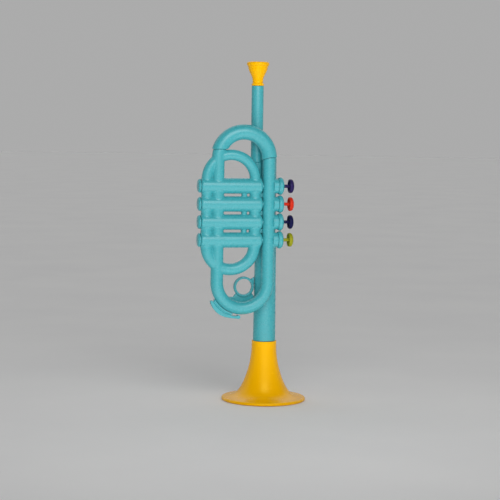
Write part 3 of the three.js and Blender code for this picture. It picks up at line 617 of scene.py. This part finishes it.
def half_shells(prefix, f, lo, hi, h, planes, names, material, slot):
    v, q = surface(f, lo, hi, h)
    whole = mesh_from(prefix, v, q)
    for (plane, keep), name in zip(planes, names):
        me = half(whole, plane, keep)
        me.name = name
        add(name, me, material, [name.replace("look_", "")], slot, sharp=42)
    bpy.data.meshes.remove(whole)


half_shells("body", body_sdf, (-76, YF - 9.5, 87), (12, -8.5, 257), FINE,
            [(YF - SPLIT, -1), (YF + SPLIT, 1)], ["look_body_front_shell", "look_body_rear_shell"], TEAL, "teal_plastic")
half_shells("bow", bow_sdf, (-64, YF - 9.5, 244), (8, -9, 282), FINE,
            [(YF - SPLIT, -1), (YF + SPLIT, 1)], ["look_bow_front_shell", "look_bow_rear_shell"], TEAL, "teal_plastic")


# ------------------------------------------------------------------- valve pieces
def arc_pts(cx, cy, r, a0, a1, n):
    return [(cx + r * math.cos(math.radians(a0 + (a1 - a0) * i / n)), cy + r * math.sin(math.radians(a0 + (a1 - a0) * i / n))) for i in range(n + 1)]


def top_cap_outline():
    # [radius, x]: sleeve in the neck, shoulder, domed flange with the stem hole
    pts = [(5.25, 5.0), (5.25, 7.6), (7.95, 7.6), (8.75, 9.3), (8.75, 10.7), (7.5, 12.35), (2.5, 13.1), (2.0, 13.1), (2.0, 7.3), (3.9, 7.3), (3.9, 5.0)]
    rad = [0.3, 0.1, 0.3, 1.4, 1.6, 2.8, 0.4, 0.25, 0.1, 0.1, 0.2]
    return fillet(pts, rad)


def bottom_cap_outline():
    pts = [(0, -74.4), (5.6, -74.15), (6.9, -72.7), (6.9, -71.8), (5.4, -71.8), (5.4, -66.5), (0, -66.5)]
    rad = [0, 1.6, 0.6, 0.25, 0.1, 0.4, 0]
    return fillet(pts, rad)


def key_outline():
    # spindle, stem, and a mushroom head that is hollow underneath
    head = smooth_line([(1.65, 18.2), (1.72, 19.3), (2.1, 19.95), (3.2, 20.1), (4.4, 20.08), (5.2, 19.8), (5.75, 19.15), (6.05, 18.86), (6.35, 18.8), (6.68, 19.0), (6.86, 19.6), (6.91, 20.3), (6.86, 21.1), (6.6, 21.8), (5.95, 22.45), (4.8, 22.98), (3.4, 23.33), (1.7, 23.54), (0, 23.6)], 0.3)
    base = [(0, -17.5), (1.2, -17.5), (1.5, -17.2), (1.5, 7.1), (1.5, 7.3), (1.6, 7.3), (1.65, 7.38)]
    return base + [tuple(q) for q in head]


def spring_mesh(z, left=-4.7, right=5.1, mean=2.45, wire=0.3, turns=5.4, per=36, ring=10):
    # round wire, wound open between two close end turns
    t = np.linspace(0, turns, int(turns * per) + 1)
    opened = np.clip((np.minimum(t, turns - t) - 0.6) / 0.5, 0, 1)
    close = 2.15 * wire
    step = np.diff(t)
    mid = 0.5 * (opened[1:] + opened[:-1])
    extra = (right - left - 2 * wire - close * turns) / np.sum(mid * step)
    x = left + wire + np.concatenate([[0], np.cumsum((close + extra * mid) * step)])
    a = 2 * math.pi * t
    path = np.stack([x, YF + mean * np.cos(a), z + mean * np.sin(a)], 1)
    along = np.gradient(path, axis=0)
    along /= np.linalg.norm(along, axis=1)[:, None]
    out = np.stack([np.zeros_like(a), np.cos(a), np.sin(a)], 1)
    side = np.cross(along, out)
    n = len(t)
    pts = []
    for k in range(ring):
        b = 2 * math.pi * k / ring
        pts.append(path + wire * (math.cos(b) * out + math.sin(b) * side))
    v = np.stack(pts, 1).reshape(-1, 3)
    faces = []
    for i in range(n - 1):
        for k in range(ring):
            k2 = (k + 1) % ring
            faces.append((i * ring + k, i * ring + k2, (i + 1) * ring + k2, (i + 1) * ring + k))
    faces.append(tuple(range(ring - 1, -1, -1)))
    faces.append(tuple((n - 1) * ring + k for k in range(ring)))
    v = v * MM
    v[:, 0] += SHIFT * MM
    me = bpy.data.meshes.new("spring")
    me.from_pydata(v.tolist(), [], faces)
    bm = bmesh.new()
    bm.from_mesh(me)
    bmesh.ops.recalc_face_normals(bm, faces=bm.faces)
    bm.to_mesh(me)
    bm.free()
    return me


KEYS = [(PURPLE, "key_purple"), (RED, "key_red"), (BLUE, "key_blue"), (OLIVE, "key_olive")]
for i, z in enumerate(VALVES):
    n = i + 1
    add(f"look_valve_top_cap_{n}", turned("cap", top_cap_outline(), "x", YF, z, 72), TEAL, [f"valve_top_cap_{n}"], "teal_plastic", sharp=50)
    add(f"look_valve_bottom_cap_{n}", turned("plug", bottom_cap_outline(), "x", YF, z, 72), TEAL, [f"valve_bottom_cap_{n}"], "teal_plastic", sharp=50)
    add(f"look_key_{n}", turned("key", key_outline(), "x", YF, z, 72), KEYS[i][0], [f"key_{n}"], KEYS[i][1], body=f"key_{n}_assembly", sharp=60)
    coil = add(f"look_return_spring_{n}", spring_mesh(z), STEEL, [f"return_spring_{n}"], "spring_steel", sharp=60)
    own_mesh(coil)


# ------------------------------------------------------- mouthpiece, lead pipe, bell
add("look_lead_pipe", turned("lead", fillet(
    [(4.8, 256.4), (4.8, 262.06), (6.0, 262.06), (6.0, 318.0), (4.4, 318.0), (4.4, 268.0), (3.6, 267.2), (3.6, 256.4)],
    [0.3, 0.05, 0.1, 0.5, 0.3, 0.2, 0.2, 0.2]), "z", *LEAD, 96), TEAL, ["lead_pipe"], "teal_plastic", sharp=50)

shank = [(3.1, 306.0), (3.8, 306.0), (4.05, 306.6), (4.1, 318.3)]
outside = smooth_line([(4.1, 318.3), (4.1, 318.3), (5.9, 318.3), (5.9, 318.3), (6.25, 318.65), (6.3, 319.3), (6.25, 319.95), (5.9, 320.3), (5.5, 320.8), (5.3, 321.6), (5.3, 323.0), (5.6, 325.5), (6.7, 328.4), (8.2, 331.4), (9.3, 334.0), (9.85, 336.4), (10.2, 337.7), (10.9, 338.5), (11.3, 339.3), (11.3, 340.2), (10.95, 341.2), (10.2, 341.85), (9.6, 342.0), (9.0, 341.75), (8.6, 341.0), (8.4, 339.6), (8.05, 337.4), (7.3, 334.6), (6.2, 331.8), (4.6, 329.0), (3.1, 327.0), (2.7, 326.0), (2.7, 324.5), (2.9, 318.0), (3.1, 306.0)], 0.5)
add("look_mouthpiece", turned("mouth", shank[1:3] + [tuple(q) for q in outside], "z", *LEAD, 112), YELLOW, ["mouthpiece"], "yellow_plastic", sharp=50)

add("look_bell_tube", turned("tube", fillet(
    [(10.15, 47.0), (10.15, 60.8), (11.35, 60.8), (10.8, 156.7), (8.4, 156.7), (8.4, 161.5), (7.0, 161.5), (7.0, 150.0), (8.9, 70.0), (8.9, 47.0)],
    [0.3, 0.05, 0.35, 0.35, 0.05, 0.3, 0.2, 0, 0, 0.2]), "z", 0, 0, 128), TEAL, ["bell_tube"], "teal_plastic", sharp=50)

bell_out = smooth_line([(12.35, 60.5), (12.6, 60.35), (12.65, 60.0), (12.65, 54.0), (12.8, 50.0), (13.15, 46.0), (13.7, 42.0), (14.5, 37.6), (15.5, 33.5), (16.6, 29.4), (17.9, 25.3), (19.4, 21.1), (21.2, 17.0), (23.3, 12.9), (25.9, 9.1), (28.1, 6.95), (31.2, 5.25), (35.0, 4.15), (38.8, 3.45), (41.0, 3.15), (42.1, 2.75), (42.65, 1.95), (42.7, 1.1), (42.4, 0.3), (41.7, 0.0)], 0.7)
bell_in = smooth_line([(41.7, 0.0), (41.7, 0.0), (39.3, 0.0), (39.3, 0.0), (38.9, 0.15), (38.3, 0.75), (36.0, 1.5), (32.0, 2.55), (28.6, 4.1), (25.8, 6.4), (23.2, 9.3), (21.0, 12.6), (19.0, 16.6), (17.2, 20.9), (15.8, 25.1), (14.5, 29.6), (13.45, 33.8), (12.5, 38.2), (11.7, 42.0), (11.0, 45.0), (10.6, 46.4), (10.5, 47.0), (10.5, 60.2), (10.5, 60.5), (10.5, 60.5), (12.35, 60.5)], 0.7)
add("look_bell", turned("bell", [tuple(q) for q in bell_out] + [tuple(q) for q in bell_in[1:-1]], "z", 0, 0, 160), YELLOW, ["bell"], "yellow_plastic", sharp=50)


# ---------------------------------------------------------------------- air chest
def chest_sdf(p):
    x, y, z = p
    plan = two_circles(x, y, LEAD[0], LEAD[1], 6.1, 0.0, 0.0, CHEST_R)
    low = rounded(plan, np.abs(z - (CHEST_Z0 + SHOULDER) / 2) - (SHOULDER - CHEST_Z0) / 2, 1.1)
    tube = rod_z(p, CHEST_R, SHOULDER - 3, CHEST_Z1, 0, 0, 1.1)
    socket = rod_z(p, 6.0, SHOULDER - 3, SOCKET_TOP, *LEAD, 0.1)
    d = smin(low, smin(tube, socket, 0.7), 0.9)
    d = smax(d, np.minimum(CHEST_FRONT - y, (PAD_TOP + 0.2) - z), 0.6)
    d = smin(d, block(p, -5.1, 1.3, CHEST_FRONT, -5.0, SHOULDER - 2, PAD_TOP - 0.3, 0.3), 0.3)
    front = CHEST_FRONT + WALL - y
    in_lead, in_bell = hyp(x - LEAD[0], y - LEAD[1]) - (6.0 - WALL), hyp(x, y) - (CHEST_R - WALL)
    low_room = np.maximum(plan + WALL, np.abs(z - 191.85) - 32.85)
    low_room = np.maximum(np.minimum(low_room, np.maximum(np.minimum(in_lead, in_bell), np.abs(z - 225.3) - 2.9)), front)
    high_room = np.minimum(np.maximum(np.maximum(in_bell, front), np.abs(z - 238.9) - 9.1), np.maximum(in_lead, np.abs(z - 241.9) - 12.1))
    slot = np.maximum(two_circles(x, y, LEAD[0], LEAD[1], 2.801, 0.0, 0.0, 2.8), np.abs(z - 237.0) - 6.0)
    d = smax(d, -least(low_room, high_room, slot), 0.2)
    for sz in CHEST_SCREW_Z:
        d = smin(d, rod_y(p, 3.2, CHEST_FRONT + 0.5, 6.8, CHEST_SCREW_X, sz, 0.4), 0.5)
    d = np.maximum(d, -block(p, -15.5, -5.0, CHEST_FRONT + WALL - 0.05, CHEST_FRONT + WALL + 1.4, 160.1, 222.9))
    holes = [rod_z(p, 5.15, SOCKET_TOP - 6, SOCKET_TOP + 2, *LEAD), rod_z(p, 4.4, PARTITION + 0.8, SOCKET_TOP, *LEAD),
             rod_z(p, 8.75, 155, 163, 0, 0), rod_y(p, 2.5, CHEST_FRONT - 1, CHEST_FRONT + 3, LEG_X, 235.5)]
    for c in VALVES:
        holes.append(block(p, -13.9, -10.9, CHEST_FRONT - 1, CHEST_FRONT + 3, c - 4.2, c + 4.2))
    for sz in CHEST_SCREW_Z:
        holes += [rod_y(p, 1.8, CHEST_FRONT - 1, 12, CHEST_SCREW_X, sz), rod_y(p, 2.9, 4.8, 12, CHEST_SCREW_X, sz)]
    return smax(d, -least(*holes), 0.2)


half_shells("chest", chest_sdf, (-20, -11, 155), (12, 12, 264), FINE,
            [(CHEST_SPLIT - SPLIT, -1), (CHEST_SPLIT + SPLIT, 1)], ["look_air_chest", "look_air_chest_cover"], TEAL, "teal_plastic")


# ------------------------------------------------------- finger ring and drain lever
WEB = [(-38.0, 105.4), (-33.0, 105.6), (-28.0, 112), (-16, 112), (-11.6, 106.0), (-11.6, 98.6), (-18.0, 96.2), (-26.0, 95.6), (-33.0, 98.6)]
STRUT = [(-16.6, 121.6), (-13.4, 124.6), (-11.4, 125.6), (-11.4, 118.2), (-12.3, 117.6)]


def ring_sdf(p):
    x, y, z = p
    rr = hyp(x - RING_X, z - RING_Z)
    ring = rounded(np.abs(rr - (RING_OUT + RING_IN) / 2) - (RING_OUT - RING_IN) / 2, np.abs(y) - 2.6, 0.75)
    web = rounded(polygon(x, z, WEB), np.abs(y) - 1.5, 0.4)
    strut = rounded(polygon(x, z, STRUT), np.abs(y) - 1.5, 0.4)
    d = smin(ring, np.minimum(web, strut), 0.9)
    for px, pz in ((-20.0, 96.7), (-31.5, 98.4)):
        d = smin(d, rod_y(p, 1.9, -11.7, 1.5, px, pz, 0.3), 0.8)
    d = smax(d, RING_IN - rr, 0.5)
    d = smax(d, 11.6 - hyp(x, y), 0.2)
    return smax(d, -(arc_line(p, LOOP_X, BOTTOM_Z, LOOP_R, -1) - (LEG_R + 0.35)), 0.2)


v, q = surface(ring_sdf, (-40, -14, 93), (-9, 4, 128), 0.34)
add("look_finger_ring", mesh_from("ring", v, q), TEAL, ["finger_ring"], "teal_plastic")


LEVER = [(-60.4, 103.6), (-60.0, 101.0), (-57.6, 96.4), (-54.2, 92.3), (-50.3, 89.4), (-45.9, 87.5), (-42.3, 86.8), (-38.2, 86.1), (-34.1, 85.7), (-31.6, 85.8),
         (-31.6, 88.3), (-36.2, 88.5), (-39.3, 89.3), (-42.4, 90.2), (-45.9, 91.5), (-49.6, 94.0), (-53.6, 97.6), (-56.6, 101.6), (-58.2, 104.2)]


def lever_sdf(p):
    """Outer rib ending in a knob, a second rib along the bend and a thin web between them."""
    x, y, z = p
    dx, dz = x - LOOP_X, z - BOTTOM_Z
    r = hyp(dx, dz)
    a = np.degrees(np.arctan2(dz, dx)) % 360.0
    side = np.abs(y - YF)
    rib = rounded(smax(polygon(x, z, LEVER), x + 31.0, 0.6), side - 2.6, 0.7)
    knob = rounded(hyp(x + 31.6, z - 87.2) - 1.85, side - 3.0, 0.7)
    web = rounded(np.maximum(np.abs(r - 34.3) - 2.0, (np.abs(a - 231.5) - 18.5) * (math.pi / 180 * 34.3)), side - 1.5, 0.3)
    low = rounded(rounded(np.abs(r - 33.2) - 0.8, (np.abs(a - 232.0) - 21.0) * (math.pi / 180 * 33.2), 0.5), side - 2.4, 0.5)
    d = smin(smin(rib, knob, 0.7), smin(web, low, 0.6), 0.7)
    return smax(d, -(arc_line(p, LOOP_X, BOTTOM_Z, LOOP_R, -1) - (LEG_R + 0.35)), 0.2)


v, q = surface(lever_sdf, (-64, YF - 4.5, 82), (-26, YF + 4.5, 108), 0.3)
add("look_drain_lever", mesh_from("lever", v, q), TEAL, ["drain_lever"], "teal_plastic")


# -------------------------------------------------------------------------- screws
def screw_mesh(name, head_y, tip_y, x, z, head_r):
    def f(p):
        s = hyp(p[0] - x, p[2] - z)
        dome = hyp(s, p[1] - (head_y - 5.2)) - 5.2
        head = smax(smax(s - head_r, dome, 0.25), (head_y - 1.2) - p[1], 0.1)
        neck = np.maximum(rod_y(p, 1.25, tip_y, head_y - 0.6, x, z, 0.2), -9.0)
        d = np.minimum(head, neck)
        deep = head_y - 0.75
        arm1 = block(p, x - 0.28, x + 0.28, deep, head_y + 2, z - 1.25, z + 1.25)
        arm2 = block(p, x - 1.25, x + 1.25, deep, head_y + 2, z - 0.28, z + 0.28)
        return smax(d, -np.minimum(arm1, arm2), 0.12)
    h = 0.17
    v, q = surface(f, (x - 3.2, tip_y - 1, z - 3.2), (x + 3.2, head_y + 1, z + 3.2), h, relax=1)
    return mesh_from(name, v, q)


for i, (sx, sz) in enumerate(SHELL_SCREWS + [(LOOP_X, BOW_Z + LOOP_R)]):
    back = YF + (LEG_R if sz < 120 else BOW_R if sz > 260 else VALVE_R)
    add(f"look_shell_screw_{i + 1}", screw_mesh("screw", back - 0.9, YF - 4.2, sx, sz, 2.35), ZINC, [f"shell_screw_{i + 1}"], "screw_steel")
for i, sz in enumerate(CHEST_SCREW_Z):
    add(f"look_chest_screw_{i + 1}", screw_mesh("screw", 6.3, YF + 1.4, CHEST_SCREW_X, sz, 2.5), ZINC, [f"chest_screw_{i + 1}"], "screw_steel")


# -------------------------------------------- CAD nodes that stay: the works inside
KEEP = {"stem_collar": STEEL, "pad_retainer": STEEL, "valve_pad": RUBBER, "chest_gasket": RUBBER, "reed_plate": BRASS, "reed": BRASS}
for name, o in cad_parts.items():
    if o.hide_render:
        continue
    stem = name.rstrip("_1234")
    o.data.materials.clear()
    o.data.materials.append(KEEP[stem])


# ------------------------------------------------------------- floor, light, camera
def floor():
    me = bpy.data.meshes.new("floor")
    verts, faces, rings, sides = [(0, 0, 0)], [], [0.3, 0.8, 1.6, 3.2, 6.4, 12.0], 64
    for r in rings:
        for k in range(sides):
            a = 2 * math.pi * k / sides
            verts.append((r * math.cos(a), r * math.sin(a), 0.0))
    for k in range(sides):
        faces.append((0, 1 + k, 1 + (k + 1) % sides))
    for i in range(len(rings) - 1):
        for k in range(sides):
            a, b = 1 + i * sides + k, 1 + i * sides + (k + 1) % sides
            faces.append((a, a + sides, b + sides, b))
    me.from_pydata(verts, [], faces)
    o = bpy.data.objects.new("floor", me)
    bpy.context.scene.collection.objects.link(o)
    m, nt, b = new_material("pale_floor")
    tone = blend_colours(nt, span(nt, noise(nt, 6, 3, 0.5), 0.3, 0.7, 0, 1), (0.80, 0.80, 0.80), (0.83, 0.83, 0.825))
    nt.links.new(tone, b.inputs["Base Color"])
    b.inputs["Roughness"].default_value = 0.85
    b.inputs["Specular IOR Level"].default_value = 0.15
    me.materials.append(m)
    o.location = (0, 0, -0.0002)
    return o


floor()


def area(name, loc, target, size_x, size_y, power, colour=(1, 1, 1)):
    d = bpy.data.lights.new(name, "AREA")
    d.shape = "RECTANGLE"
    d.size, d.size_y, d.energy, d.color = size_x, size_y, power, colour
    o = bpy.data.objects.new(name, d)
    bpy.context.scene.collection.objects.link(o)
    o.location = loc
    o.rotation_mode = "QUATERNION"
    o.rotation_quaternion = (Vector(target) - Vector(loc)).to_track_quat("-Z", "Y")
    o.visible_camera = False
    return o


area("front_low", (-0.03, -0.645, 0.006), (-0.03, -0.645, 1.0), 0.55, 1.11, 2.2)
area("front_high", (-0.02, -0.42, 0.46), (0.0, -0.02, 0.27), 0.30, 0.20, 0.58)


def studio():
    """A soft room: one broad bright wall in front, a pale wall all round, a dim ceiling and a soft panel high at the back."""
    world = bpy.data.worlds.new("studio")
    bpy.context.scene.world = world
    world.use_nodes = True
    nt = world.node_tree
    bg = nt.nodes["Background"]

    def calc(op, a, b=None):
        n = nt.nodes.new("ShaderNodeMath")
        n.operation = op
        for i, q in enumerate((a, b)):
            if isinstance(q, (int, float)):
                n.inputs[i].default_value = q
            elif q is not None:
                nt.links.new(q, n.inputs[i])
        return n.outputs[0]

    def fall(value, a, b):
        n = nt.nodes.new("ShaderNodeMapRange")
        n.interpolation_type = "SMOOTHSTEP"
        n.inputs["From Min"].default_value, n.inputs["From Max"].default_value = a, b
        n.inputs["To Min"].default_value, n.inputs["To Max"].default_value = 1.0, 0.0
        nt.links.new(value, n.inputs["Value"])
        return n.outputs[0]

    tc = nt.nodes.new("ShaderNodeTexCoord")
    sep = nt.nodes.new("ShaderNodeSeparateXYZ")
    nt.links.new(tc.outputs["Generated"], sep.inputs[0])
    x, y, z = sep.outputs
    front = calc("ABSOLUTE", calc("SUBTRACT", calc("ARCTAN2", x, calc("MULTIPLY", y, -1.0)), 0.01))
    back = calc("ABSOLUTE", calc("ARCTAN2", x, y))
    up = calc("ARCSINE", z)
    middle = calc("ABSOLUTE", calc("SUBTRACT", calc("ARCTAN2", x, calc("MULTIPLY", y, -1.0)), -0.09))
    key = calc("ADD", calc("MULTIPLY", fall(front, 0.62, 0.78), KEY_LIGHT), calc("MULTIPLY", fall(middle, 0.20, 0.50), MIDDLE_LIGHT))
    key = calc("MULTIPLY", key, fall(up, 0.58, 1.1))
    fill = calc("MULTIPLY", calc("MULTIPLY", fall(front, 0.9, 1.7), fall(up, 0.8, 1.2)), FILL_LIGHT)
    rear = calc("MULTIPLY", calc("MULTIPLY", fall(back, 0.9, 1.5), fall(calc("ABSOLUTE", calc("SUBTRACT", up, 0.75)), 0.3, 0.55)), REAR_LIGHT)
    wall = calc("MULTIPLY", fall(calc("ABSOLUTE", up), 0.15, 0.42), WALL_LIGHT)
    nt.links.new(calc("ADD", calc("ADD", key, fill), calc("ADD", rear, calc("ADD", wall, ROOM_LIGHT))), bg.inputs["Strength"])
    bg.inputs["Color"].default_value = (1, 1, 1, 1)


KEY_LIGHT, MIDDLE_LIGHT = 0.73, 1.08
FILL_LIGHT, REAR_LIGHT, WALL_LIGHT, ROOM_LIGHT = 0.05, 0.85, 0.36, 0.05
studio()
bpy.context.scene.view_settings.view_transform = "Standard"
bpy.context.scene.view_settings.look = "None"


def photo_camera():
    """The photograph's viewpoint, in the trumpet's own axes: the trumpet leans 0.82 degrees in its box."""
    lean = math.atan(0.0143)
    az, pitch, roll = math.radians(12.996), math.radians(4.863), math.radians(0.038)
    fwd = Vector((math.sin(az) * math.cos(pitch), math.cos(az) * math.cos(pitch), -math.sin(pitch)))
    right = Vector((math.cos(az), -math.sin(az), 0.0))
    up = right.cross(fwd)
    right, up = right * math.cos(roll) + up * math.sin(roll), up * math.cos(roll) - right * math.sin(roll)
    turn = Matrix(((math.cos(lean), 0, -math.sin(lean)), (0, 1, 0), (math.sin(lean), 0, math.cos(lean))))
    fwd, right, up = turn @ fwd, turn @ right, turn @ up
    d = bpy.data.cameras.new("photo_camera")
    d.sensor_fit, d.sensor_width, d.lens = "HORIZONTAL", 36.0, 36.0 * 1568.6 / 500.0
    d.clip_start, d.clip_end = 0.05, 60.0
    o = bpy.data.objects.new("photo_camera", d)
    bpy.context.scene.collection.objects.link(o)
    m = Matrix((right, up, -fwd)).transposed().to_4x4()
    m.translation = Vector((-373.58 + SHIFT, -1541.08, 282.34)) * MM
    o.matrix_world = m
    bpy.context.scene.camera = o


photo_camera()

bpy.context.view_layer.update()
